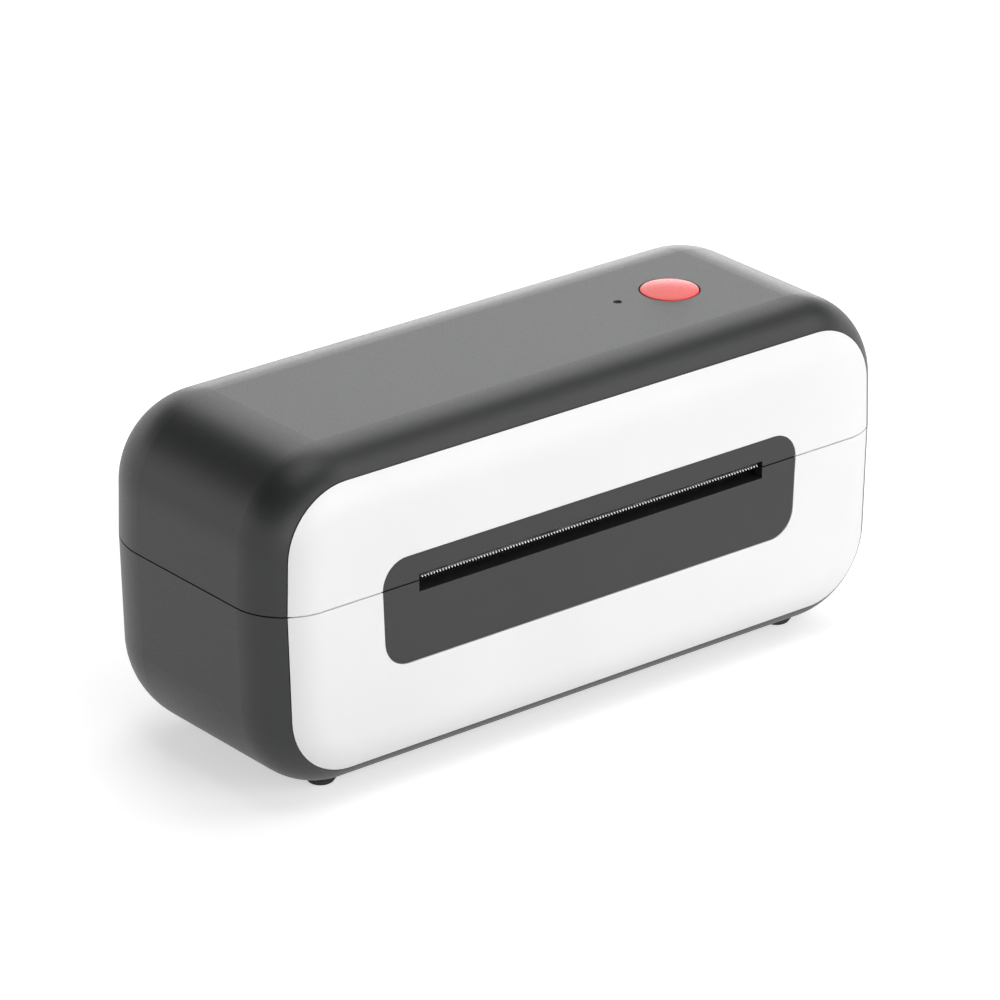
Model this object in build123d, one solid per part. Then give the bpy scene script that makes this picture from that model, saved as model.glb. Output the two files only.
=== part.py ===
from build123d import *
import os
from math import acos, cos, pi, radians, sin, tan

os.makedirs("parts", exist_ok=True)

# A desktop printer for shipping labels. The case is two rounded halves that part along a
# level line: a base with the label path, roller and drive, and a lid with the thermal head,
# hinged at the back. The frame of the part has its front face towards -Y and +Z up; the
# origin is on the table, under the middle of the case. Sizes are in millimetres.

# Case, as seen in the photograph
body_width = 216.0
body_depth = 86.5
base_height = 56.0
lid_height = 40.3
foot_height = 2.6
base_draft = 1.8
lid_draft = 1.5
base_corner_radius = 26.0
lid_corner_radius = 26.0
front_edge_radius = 16.0
rear_edge_radius = 26.0
wall = 2.4
front_stiffening = 6.0
rear_stiffening = 17.5
parting_gap = 0.4

# White front panels and the dark bezel between them
panel_depth = 3.15
panel_seam = 0.25
tab_width = 5.0
tab_thickness = 1.6
tab_fit = 0.1
panel_tab_margin = 14.0
lid_panel_tab_up = 20.0
base_panel_tab_up = -30.0
bezel_margin = 12.0
bezel_taper = 1.0
bezel_top = 7.85
bezel_bottom = -22.8
bezel_corner_radius = 7.8
bezel_gap = 0.2
bezel_sink = 0.1

# Label slot, tear bar and label path
slot_half_width = 60.0
slot_bottom = -3.3
slot_top = 1.7
tear_slope = 45.0
tear_thickness = 0.45
tear_tip_back = 0.4
tear_tip_up = 0.25
tooth_pitch = 1.0
tooth_length = 0.95
tear_flange_height = 7.0
inlet_top = 1.6
deck_top = -3.4
deck_thickness = 2.4
lid_frame_bottom = 1.4
lid_frame_thickness = 2.4

# Fits
running_fit = 0.05
snug_fit = 0.03
loose_fit = 0.3
inner_gap = 0.5
tongue_thickness = 1.0
tongue_height = 1.2
tongue_root = 3.0

# Lid hinge
hinge_inset = 3.5
hinge_drop = 7.0
hinge_pin_radius = 1.5
hinge_knuckle_radius = 3.2
hinge_arm_x = 74.0
hinge_arm_width = 8.0
hinge_lug_width = 3.6
rear_chamfer = 1.5

# Platen roller and its bearings
platen_back = 19.0
platen_radius = 8.5
platen_half_length = 56.0
nip_gap = 0.3
shaft_radius = 3.0
bush_radius = 5.0
side_plate_x = 60.0
side_plate_thickness = 2.5

# Gears
gear_module = 0.6
platen_teeth = 28
idler_small_teeth = 16
idler_big_teeth = 44
pinion_teeth = 12
pressure_angle = 20.0
addendum = 0.75
dedendum = 1.0
backlash = 0.08
gear_width = 4.0
big_gear_width = 3.0
gear_plate_thickness = 1.5
idler_bearing = -60.0
motor_bearing = -35.0
stud_radius = 1.5

# Stepper motor
motor_size = 34.0
motor_corner = 5.5
motor_length = 21.0
motor_shaft_radius = 1.0
motor_boss_radius = 6.0

# Label guides
guide_module = 0.8
guide_teeth = 14
guide_inset = 19.5
guide_travel = 30.0
guide_inner_x = 58.5
guide_wall = 1.5
guide_length = 26.0
rack_thickness = 1.8
channel_depth = 2.4

# Thermal head
head_half_length = 57.0
head_width = 13.0
head_thickness = 1.0
sink_half_length = 58.0
sink_front = 11.0
sink_rear = 37.0
sink_thickness = 4.1
head_pivot_back = 35.5
head_pivot_up = 7.2
head_pin_radius = 1.5
bracket_thickness = 1.2
bracket_top = 15.2
bracket_front = 9.0
bracket_rear = 46.0
spring_x = 35.0
spring_radius = 2.7
spring_wire = 0.7
spring_turns = 3

# Latch that holds the lid down on the roller
latch_back = 42.0
latch_up = 9.0
latch_rod_radius = 2.0
hook_x = 66.7
hook_thickness = 3.0
catch_back = 36.0
catch_up = -8.0
catch_radius = 1.5

# Feed button and status lamp, on the top of the lid
button_inset = 48.2
button_back = 39.9
button_radius = 8.25
button_ring_gap = 0.4
button_dome = 1.1
button_travel = 0.8
lamp_spacing = 17.2
lamp_back = 41.8
lamp_radius = 1.2
board_thickness = 1.6
button_board_top = 26.6

# Sockets and switch in the rear wall
main_board_top = -25.4
jack_x = -40.0
jack_width = 9.0
jack_height = 11.0
jack_length = 13.8
plug_radius = 3.15
usb_x = -16.0
usb_width = 12.0
usb_height = 11.0
usb_length = 16.0
switch_x = 14.0
switch_up = -17.9
switch_width = 15.2
switch_height = 10.7
switch_pocket = 3.4
rocker_tilt = 8.0

# Feet and screw posts
foot_x = 81.0
foot_front = 16.5
foot_rear_inset = 28.5
foot_radius = 4.5
foot_sink = 1.0
post_x = 88.0
post_front = 30.0
post_rear_inset = 24.5
post_radius = 4.0
lid_post_width = 7.0
post_meet = -40.0
screw_head_radius = 2.8

front_y = -body_depth / 2
split_z = foot_height + base_height
half_width = body_width / 2
rim = parting_gap / 2
bezel_half_width = slot_half_width + bezel_margin
panel_tab_x = bezel_half_width + panel_tab_margin
guide_back = body_depth - guide_inset
foot_rear = body_depth - foot_rear_inset
post_rear = body_depth - post_rear_inset
button_x = half_width - button_inset
lamp_x = button_x - lamp_spacing
deck_bottom = deck_top - deck_thickness
lid_frame_top = lid_frame_bottom + lid_frame_thickness
platen_up = -1.4 - platen_radius
shell_front = panel_depth + wall
ring_inset = wall + loose_fit + tongue_thickness


def place(x, back, up):
    """A spot given across, back from the front face and up from the parting line."""
    return Pos(x, front_y + back, split_z + up)


def block(x, back, up):
    """A box given by its limits across, back from the front face and up from the parting line."""
    middle = place(sum(x) / 2, sum(back) / 2, sum(up) / 2)
    return middle * Box(x[1] - x[0], back[1] - back[0], up[1] - up[0])


def upright(x, back, radius, up):
    """A round bar standing up between two heights."""
    return place(x, back, sum(up) / 2) * Cylinder(radius, up[1] - up[0])


def crosswise(back, up, radius, x):
    """A round bar lying across the case between two places in x."""
    return place(sum(x) / 2, back, up) * Rot(0, 90, 0) * Cylinder(radius, x[1] - x[0])


def lengthwise(x, up, radius, back):
    """A round bar lying front to back."""
    return place(x, sum(back) / 2, up) * Rot(90, 0, 0) * Cylinder(radius, back[1] - back[0])


def side_shape(points, x):
    """A plate cut to an outline seen from the side, as (back, up) points, between two places in x."""
    face = make_face(Polyline(*points, close=True))
    plane = Plane(origin=(x[0], front_y, split_z), x_dir=(0, 1, 0), z_dir=(1, 0, 0))
    return extrude(plane * face, amount=x[1] - x[0])


def both_sides(shape):
    """The shape and its mirror image on the other side of the case."""
    return shape + mirror(shape, Plane.YZ)


def joined(shapes):
    """All the shapes fused into one."""
    total = shapes[0]
    for shape in shapes[1:]:
        total = total + shape
    return total


def keep(node, *shapes):
    """Write one named piece, or a group of like pieces, to its own file."""
    solids = [solid for shape in shapes for solid in shape.solids()]
    piece = solids[0] if len(solids) == 1 else Compound(solids)
    piece.label = node
    export_step(piece, f"parts/{node}.step")


def case_face(height, draft, corner_radius, inset):
    """The outline of half the case as seen from the front, rim at z = 0 and drawn in by the inset."""
    edge = half_width - inset
    far = height - inset
    far_edge = edge - far * tan(radians(draft))
    outline = Polyline((-edge, 0), (edge, 0), (far_edge, far), (-far_edge, far), close=True)
    face = make_face(Plane.XZ * outline)
    return fillet(face.vertices().group_by(Axis.Z)[-1], corner_radius - inset)


def rim_edges(solid, end):
    """The edges round the front (0) or rear (-1) of half a case, without the one on the parting line."""
    return [edge for edge in solid.faces().sort_by(Axis.Y)[end].edges() if edge.center().Z > rim]


def half_case(height, draft, corner_radius):
    """Half of the rounded case as a solid, growing up from the parting line."""
    face = Pos(0, front_y, 0) * case_face(height, draft, corner_radius, 0)
    solid = extrude(face, amount=body_depth, dir=(0, 1, 0))
    solid = fillet(rim_edges(solid, 0), front_edge_radius)
    return fillet(rim_edges(solid, -1), rear_edge_radius)


def half_cavity(height, draft, corner_radius):
    """The hollow inside half a case, with broad flats inside its front and rear roundings."""
    face = Pos(0, front_y + shell_front, 0) * case_face(height, draft, corner_radius, wall)
    solid = extrude(face, amount=body_depth - shell_front - wall, dir=(0, 1, 0))
    solid = chamfer(rim_edges(solid, 0), front_stiffening)
    return chamfer(rim_edges(solid, -1), rear_stiffening)


def lower(shape):
    """Half a case turned over and set under the parting line."""
    return Pos(0, 0, split_z) * mirror(shape, Plane.XY)


def upper(shape):
    """Half a case set on the parting line."""
    return Pos(0, 0, split_z) * shape


def plan_plate(up):
    """A level plate that fills the cavity in plan, clear of the shell all round."""
    side = ring_inset + inner_gap
    front = shell_front + inner_gap
    left = -half_width + side
    near = front_y + front
    far = front_y + body_depth - side
    outline = Polyline((left, near), (-left, near), (-left, far), (left, far), close=True)
    face = make_face(outline)
    slack = inner_gap * 2**0.5
    front_cut = wall + shell_front + front_stiffening + slack - side - front
    rear_cut = 2 * wall + rear_stiffening + slack - 2 * side
    face = chamfer(face.vertices().group_by(Axis.Y)[0], front_cut)
    face = chamfer(face.vertices().group_by(Axis.Y)[-1], rear_cut)
    return extrude(Pos(0, 0, split_z + up[0]) * face, amount=up[1] - up[0])


everywhere = (-half_width - 1, half_width + 1)
all_back = (-1, body_depth + 1)
below_rim = block(everywhere, all_back, (-base_height - foot_height, -rim))
above_rim = block(everywhere, all_back, (rim, lid_height + 1))
panel_zone = block(everywhere, (-1, panel_depth), (-base_height - 1, lid_height + 1))
base_form = (base_height, base_draft, base_corner_radius)
lid_form = (lid_height, lid_draft, lid_corner_radius)

# Hinge
hinge_back = body_depth - hinge_inset
hinge_up = -hinge_drop
arm_low = hinge_arm_x - hinge_arm_width / 2
arm_high = hinge_arm_x + hinge_arm_width / 2
lug_inner = arm_low - loose_fit - hinge_lug_width
lug_outer = arm_high + loose_fit + hinge_lug_width


def hinge_arm():
    """An arm of the lid that reaches down through the base's rear wall to the hinge pin."""
    reach = hinge_knuckle_radius
    root = inlet_top + 6.0
    arm = block((arm_low, arm_high), (hinge_back - reach, hinge_back + reach), (hinge_up, root))
    arm = arm + crosswise(hinge_back, hinge_up, hinge_knuckle_radius, (arm_low, arm_high))
    bore = hinge_pin_radius + running_fit
    return arm - crosswise(hinge_back, hinge_up, bore, (arm_low - 1, arm_high + 1))


def hinge_lugs():
    """The two ears inside the base's rear wall that hold one hinge pin."""
    wall_face = body_depth - wall
    nose = hinge_back - 3.2
    side = (
        (nose, hinge_up + 3.0),
        (nose, hinge_up - 3.0),
        (wall_face + 0.5, hinge_up - 11.0),
        (wall_face + 0.5, hinge_up + 3.0),
    )
    inner = side_shape(side, (lug_inner, arm_low - loose_fit))
    return inner + side_shape(side, (arm_high + loose_fit, lug_outer))


# Front panels and bezel
def bezel_prism(gap, back):
    """The bezel's rounded outline, grown by a gap, as a bar between two depths."""
    outline = Polyline(
        (-bezel_half_width - gap, bezel_top + gap),
        (bezel_half_width + gap, bezel_top + gap),
        (bezel_half_width + gap, 0),
        (bezel_half_width - bezel_taper + gap, bezel_bottom - gap),
        (-bezel_half_width + bezel_taper - gap, bezel_bottom - gap),
        (-bezel_half_width - gap, 0),
        close=True,
    )
    face = make_face(outline)
    groups = face.vertices().group_by(Axis.Y)
    face = fillet(list(groups[0]) + list(groups[-1]), bezel_corner_radius + gap)
    plane = Plane(origin=(0, front_y + back[0], split_z), x_dir=(1, 0, 0), z_dir=(0, -1, 0))
    return extrude(plane * face, amount=back[0] - back[1])


bezel_tab_x = slot_half_width + 6.5
lid_bezel_tab_up = bezel_top - 3.0
base_bezel_tab_up = bezel_bottom + 6.0


def tabs(x, up, grow=0.0):
    """A pair of flat tabs on the back of a front piece; grown, the slots they pass through."""
    wide = tab_width / 2 + grow
    tall = tab_thickness / 2 + grow
    back = (panel_depth - 0.5, shell_front + 1.0)
    return both_sides(block((x - wide, x + wide), back, (up - tall, up + tall)))


def front_panel(half, form, tab_up):
    """The case's own front as a white panel, on a smaller pad that leaves a fine seam round it."""
    skin_back = panel_depth - panel_seam
    skin = half(half_case(*form)) & block(everywhere, (-1, skin_back), (-base_height - 1, lid_height + 1))
    rounding = (front_edge_radius**2 - (front_edge_radius - panel_depth) ** 2) ** 0.5
    pad_inset = front_edge_radius - rounding + 2.0
    pad_face = Pos(0, front_y + skin_back - 0.5, 0) * case_face(*form, pad_inset)
    panel = skin + half(extrude(pad_face, amount=panel_seam + 0.5, dir=(0, 1, 0)))
    panel = panel - block(everywhere, all_back, (-rim, rim)) - bezel_prism(bezel_gap, (-1, panel_depth + 1))
    return panel + tabs(panel_tab_x, tab_up)


# The two bezels
def make_base_bezel():
    """The lower bezel, with the square-ended label slot cut down from its top edge."""
    below = (bezel_bottom - 1, -rim)
    bezel = bezel_prism(0, (bezel_sink, panel_depth)) & block(everywhere, (-1, panel_depth + 1), below)
    slot = block((-slot_half_width, slot_half_width), (-1, panel_depth + 1), (slot_bottom, 1))
    return bezel - slot + tabs(bezel_tab_x, base_bezel_tab_up)


def make_lid_bezel():
    """The upper bezel, notched along its lower edge, and sloped there to clear the tear bar."""
    above = (rim, bezel_top + 1)
    bezel = bezel_prism(0, (bezel_sink, panel_depth)) & block(everywhere, (-1, panel_depth + 1), above)
    rise = (panel_depth + 1) * tan(radians(tear_slope))
    notch = side_shape(
        ((-1, -1), (-1, slot_top), (0, slot_top), (panel_depth + 1, slot_top + rise), (panel_depth + 1, -1)),
        (-slot_half_width, slot_half_width),
    )
    return bezel - notch + tabs(bezel_tab_x, lid_bezel_tab_up)


# Gears
def involute(angle):
    return tan(angle) - angle


def gear(module, teeth, bearing, bore, width):
    """A spur gear lying flat, with involute flanks and one tooth's middle at the given bearing."""
    pitch_r = module * teeth / 2
    pressure = radians(pressure_angle)
    base_r = pitch_r * cos(pressure)
    root_r = pitch_r - dedendum * module
    tip_r = pitch_r + addendum * module
    pitch_half = pi / 2 / teeth - backlash / 4 / pitch_r

    def half_angle(radius):
        flank = acos(min(1.0, base_r / max(radius, base_r)))
        return pitch_half + involute(pressure) - involute(flank)

    points = []
    for tooth in range(teeth):
        middle = radians(bearing) + 2 * pi * tooth / teeth
        flank = [(radius, half_angle(radius)) for radius in (root_r, tip_r)]
        left = [(radius, middle - half) for radius, half in flank]
        right = [(radius, middle + half) for radius, half in reversed(flank)]
        points += [(radius * cos(angle), radius * sin(angle)) for radius, angle in left + right]
    blank = extrude(make_face(Polyline(*points, close=True)), amount=width)
    return blank - Pos(0, 0, width / 2) * Cylinder(bore, width + 1)


def cross_gear(module, teeth, bearing, bore, back, up, x):
    """A gear turned to run on an axle across the case; bearing is measured from the back, upwards."""
    plane = Plane(origin=(x[0], front_y + back, split_z + up), x_dir=(0, 1, 0), z_dir=(1, 0, 0))
    return plane.location * gear(module, teeth, bearing, bore, x[1] - x[0])


plate_x = side_plate_x + side_plate_thickness
gear_x = plate_x + gear_plate_thickness + 1.0
big_gear_x = gear_x + gear_width + 0.6
train_end = big_gear_x + big_gear_width + 0.6
platen_to_idler = gear_module * (platen_teeth + idler_small_teeth) / 2
idler_to_motor = gear_module * (idler_big_teeth + pinion_teeth) / 2
idler_back = platen_back + platen_to_idler * cos(radians(idler_bearing))
idler_up = platen_up + platen_to_idler * sin(radians(idler_bearing))
motor_back = idler_back + idler_to_motor * cos(radians(motor_bearing))
motor_up = idler_up + idler_to_motor * sin(radians(motor_bearing))


def make_platen():
    """Roller, shaft, bushes and gear, all on the platen's axis."""
    axis = (platen_back, platen_up)
    shaft_right = gear_x + gear_width + 0.3
    shaft = crosswise(*axis, shaft_radius, (-plate_x - 1.5, shaft_right))
    rubber = crosswise(*axis, platen_radius, (-platen_half_length, platen_half_length))
    rubber = rubber - crosswise(*axis, shaft_radius, everywhere)
    bush_end = plate_x + gear_plate_thickness
    bush = crosswise(*axis, bush_radius, (side_plate_x, bush_end))
    bush = bush - crosswise(*axis, shaft_radius + running_fit, (side_plate_x - 1, bush_end + 1))
    wheel = cross_gear(
        gear_module, platen_teeth, idler_bearing, shaft_radius, *axis, (gear_x, gear_x + gear_width)
    )
    keep("platen_shaft", shaft)
    keep("platen_rubber", rubber)
    keep("platen_bushes", both_sides(bush))
    keep("platen_gear", wheel)


def make_drive():
    """The compound idler on its stud, the motor's pinion and shaft, and the plate that carries them."""
    idler_axis = (idler_back, idler_up)
    motor_axis = (motor_back, motor_up)
    platen_axis = (platen_back, platen_up)
    bore = stud_radius + running_fit
    small = cross_gear(
        gear_module,
        idler_small_teeth,
        idler_bearing + 180 + 180 / idler_small_teeth,
        bore,
        *idler_axis,
        (gear_x, big_gear_x),
    )
    big = cross_gear(
        gear_module,
        idler_big_teeth,
        motor_bearing,
        bore,
        *idler_axis,
        (big_gear_x, big_gear_x + big_gear_width),
    )
    keep("idler_gear", small + big)
    stud = crosswise(*idler_axis, stud_radius, (plate_x, train_end))
    keep("idler_stud", stud)
    pinion = cross_gear(
        gear_module,
        pinion_teeth,
        motor_bearing + 180 + 180 / pinion_teeth,
        motor_shaft_radius,
        *motor_axis,
        (big_gear_x - 0.5, big_gear_x + big_gear_width + 0.5),
    )
    keep("motor_pinion", pinion)
    shaft_x = (plate_x - motor_length / 2, train_end + 0.4)
    keep("motor_shaft", crosswise(*motor_axis, motor_shaft_radius, shaft_x))

    half = motor_size / 2
    tall = (motor_up - half, motor_up + half)
    body = block((plate_x - motor_length, plate_x), (motor_back - half, motor_back + half), tall)
    body = chamfer(body.edges().filter_by(Axis.X), motor_corner)
    waist = block(
        (plate_x - motor_length + 5, plate_x - 5),
        (motor_back - half - 1, motor_back + half + 1),
        (motor_up - half - 1, motor_up + half + 1),
    )
    waist = waist - block(
        (plate_x - motor_length, plate_x),
        (motor_back - half + 0.6, motor_back + half - 0.6),
        (motor_up - half + 0.6, motor_up + half - 0.6),
    )
    plug = block(
        (plate_x - motor_length + 1, plate_x - 11),
        (motor_back - 6, motor_back + 6),
        (motor_up - half - 3, motor_up - 10),
    )
    plate_outer = plate_x + gear_plate_thickness
    boss = crosswise(*motor_axis, motor_boss_radius, (plate_x - 0.5, plate_outer))
    bore = crosswise(*motor_axis, motor_shaft_radius + running_fit, (shaft_x[0] - 0.5, plate_outer + 1))
    keep("stepper_motor", (body - waist) + plug + boss - bore)

    plate_side = (
        (platen_back - 7.0, platen_up + 5.5),
        (platen_back + 7.0, platen_up + 5.5),
        (platen_back + 9.0, platen_up - 1.5),
        (motor_back + half - 4, motor_up + half),
        (motor_back + half, motor_up + half - 4),
        (motor_back + half, motor_up - half),
        (motor_back - half + 6, motor_up - half),
        (platen_back - 7.0, platen_up - 6.0),
    )
    cut_x = (plate_x - 1, plate_outer + 1)
    plate = side_shape(plate_side, (plate_x, plate_outer))
    plate = plate - crosswise(*platen_axis, bush_radius + snug_fit, cut_x)
    plate = plate - crosswise(*idler_axis, stud_radius, cut_x)
    plate = plate - crosswise(*motor_axis, motor_boss_radius + snug_fit, cut_x)
    keep("gear_plate", plate)


# Label guides, driven apart and together by one pinion
guide_pitch_r = guide_module * guide_teeth / 2
rack_low = deck_bottom + 0.1
rack_high = rack_low + rack_thickness


def rack_bar(reach):
    """A toothed bar along x with its pitch line at y = 0 and its teeth towards +y."""
    pitch = pi * guide_module
    tip = addendum * guide_module
    root = -dedendum * guide_module
    slant = tan(radians(pressure_angle))
    half = pitch / 4 - backlash / 2
    first = -int((guide_travel + guide_pitch_r) / pitch)
    last = int(guide_pitch_r / pitch)
    end = (last + 1) * pitch
    points = [(-reach, root), (-reach, root - 2.2), (end, root - 2.2), (end, root)]
    for tooth in range(last, first - 1, -1):
        middle = tooth * pitch
        points += [
            (middle + half - root * slant, root),
            (middle + half - tip * slant, tip),
            (middle - half + tip * slant, tip),
            (middle - half + root * slant, root),
        ]
    return extrude(make_face(Polyline(*points, close=True)), amount=rack_thickness)


def make_guides():
    """The two sliding label guides, each with its rack, and the pinion and stud between them."""
    reach = guide_inner_x + guide_wall
    bar = place(0, guide_back - guide_pitch_r, rack_low) * rack_bar(reach)
    fence_back = (guide_back - guide_length / 2, guide_back + guide_length / 2)
    fence_x = (-reach, -guide_inner_x)
    fence = block(fence_x, fence_back, (deck_top + 0.2, lid_frame_bottom - 0.5))
    shoulder = block(
        (-reach, -guide_inner_x + 3.0),
        (guide_back - guide_pitch_r - 2.2, guide_back - guide_pitch_r - 0.4),
        (rack_low, rack_high),
    )
    neck = block(
        fence_x,
        (guide_back - guide_pitch_r - 2.2, guide_back - guide_pitch_r - 0.9),
        (rack_high - 0.5, deck_top + 0.3),
    )
    left = joined([bar, fence, shoulder, neck])
    lead_in = fillet(left.edges().filter_by(Axis.Z).group_by(Axis.Y)[-1], guide_wall * 0.3)
    keep("left_guide", lead_in)
    turn = place(0, guide_back, 0) * Rot(0, 0, 180) * place(0, guide_back, 0).inverse()
    keep("right_guide", turn * lead_in)
    tooth = 90 + 180 / guide_teeth
    wheel = gear(guide_module, guide_teeth, tooth, stud_radius + running_fit, rack_thickness)
    keep("guide_pinion", place(0, guide_back, rack_low) * wheel)
    keep("guide_stud", upright(0, guide_back, stud_radius, (rack_low - 1.6, deck_top)))


def square_posts(width, up):
    """The four square posts under or over the case's screws, between two heights."""
    half = width / 2
    return [
        block((side * post_x - half, side * post_x + half), (back - half, back + half), up)
        for side in (-1, 1)
        for back in (post_front, post_rear)
    ]


# Chassis
def make_chassis():
    """The moulded inner frame: label deck, side plates for the roller, guide channel and posts."""
    deck = plan_plate((deck_bottom, deck_top))
    plate_low = platen_up - 6.5
    catch_low = catch_up - 3.5
    plate = side_shape(
        (
            (platen_back - 8, deck_top),
            (platen_back - 8, plate_low + 3),
            (platen_back - 6, plate_low),
            (platen_back + 4, plate_low),
            (platen_back + 7.5, catch_low - 1),
            (catch_back + 4, catch_low),
            (catch_back + 4, deck_top),
        ),
        (side_plate_x, plate_x),
    )
    channel_low = deck_bottom - channel_depth
    pan_half = guide_inner_x + guide_wall + 4.5
    half_channel = guide_pitch_r + 4.0
    pan = block(
        (-pan_half, pan_half),
        (guide_back - half_channel - 2, guide_back + half_channel + 2),
        (channel_low, deck_top),
    )
    posts = square_posts(lid_post_width, (post_meet, deck_bottom + 0.5))
    rib_back = (platen_back + platen_radius + 3, guide_back - half_channel - 2)
    ribs = [
        block((x - 0.6, x + 0.6), rib_back, (deck_top - 0.5, deck_top + 0.3))
        for x in (-48, -32, -16, 16, 32, 48)
    ]
    frame = joined([deck, both_sides(plate), pan] + posts + ribs)

    roller_window = (platen_back - platen_radius - 0.7, platen_back + platen_radius + 0.7)
    frame = frame - block((-side_plate_x, side_plate_x), roller_window, (deck_bottom - 1, deck_top + 1))
    saddle = crosswise(platen_back, platen_up, bush_radius + snug_fit, (side_plate_x - 1, plate_x + 1))
    throat = block(
        (side_plate_x - 1, plate_x + 0.5),
        (platen_back - bush_radius - snug_fit, platen_back + bush_radius + snug_fit),
        (platen_up, deck_top + 1),
    )
    frame = frame - both_sides(saddle + throat)
    gear_reach = gear_module * platen_teeth / 2 + 1.2
    through = (deck_bottom - 1, deck_top + 1)
    gear_window = (platen_back - gear_reach, platen_back + gear_reach)
    frame = frame - block((plate_x, big_gear_x + 1), gear_window, through)
    shaft_gap = shaft_radius + 1.0
    shaft_window = (platen_back - shaft_gap, platen_back + shaft_gap)
    frame = frame - block((-plate_x - 3, -plate_x), shaft_window, through)
    hook_low = hook_x - hook_thickness / 2 - 1.0
    hook_window = block(
        (hook_low, hook_x + hook_thickness / 2 + 1.0),
        (catch_back - 4.5, latch_back + 6.5),
        (deck_bottom - 1, deck_top + 1),
    )
    catch_hole = crosswise(catch_back, catch_up, catch_radius, (side_plate_x - 1, plate_x + 1))
    frame = frame - both_sides(hook_window) - both_sides(catch_hole)
    frame = frame - block(
        (-pan_half + 2, pan_half - 2),
        (guide_back - half_channel, guide_back + half_channel),
        (deck_bottom, deck_top + 1),
    )
    frame = frame - upright(0, guide_back, stud_radius + snug_fit, (channel_low - 1, deck_bottom + 1))
    frame = frame - both_sides(
        block(
            (lug_inner - 0.6, lug_outer + 0.6),
            (hinge_back - 5.2, body_depth),
            (deck_bottom - 6, deck_top + 1),
        )
    )
    sensor_cut = block((-8.3, 8.3), (sensor_back - 3.3, sensor_back + 3.3), (deck_bottom - 1, deck_top + 1))
    ledge_back = (sensor_back - 3.3, sensor_back - 2.3)
    ledge = block((-8.3, 8.3), ledge_back, (deck_bottom - 0.5, deck_bottom + 0.5))
    keep("chassis_frame", frame - sensor_cut + ledge)
    sensor = block((-8, 8), (sensor_back - 3, sensor_back + 3), (deck_bottom + 0.5, deck_top - 0.1))
    sensor = sensor + block((-5, 5), (sensor_back - 2, sensor_back + 2), (deck_bottom - 2, deck_bottom + 1))
    keep("gap_sensor", sensor)
    catch = crosswise(catch_back, catch_up, catch_radius, (side_plate_x, hook_x + hook_thickness / 2 + 0.6))
    keep("catch_pins", both_sides(catch))


sensor_back = (platen_back + platen_radius + guide_back - guide_length / 2) / 2


# Rear sockets
def port_holes():
    """Openings in the rear wall for the power jack and the USB port."""
    through = (body_depth - wall - 1, body_depth + 1)
    gap = loose_fit
    jack = block(
        (jack_x - jack_width / 2 - gap, jack_x + jack_width / 2 + gap),
        through,
        (main_board_top - gap, main_board_top + jack_height + gap),
    )
    usb = block(
        (usb_x - usb_width / 2 - gap, usb_x + usb_width / 2 + gap),
        through,
        (main_board_top - gap, main_board_top + usb_height + gap),
    )
    return jack + usb


def pocket_box(grow, back):
    """The switch's pocket in the rear wall, grown all round."""
    across = switch_width / 2 + grow
    tall = switch_height / 2 + grow
    return block((switch_x - across, switch_x + across), back, (switch_up - tall, switch_up + tall))


pocket_floor = body_depth - switch_pocket
pocket_wall = 1.8
rocker_half = 6.1
rocker_tall = 7.4
body_half = rocker_half + 0.8
body_tall = rocker_tall / 2 + 0.5
rocker_back = pocket_floor + 0.2


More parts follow.
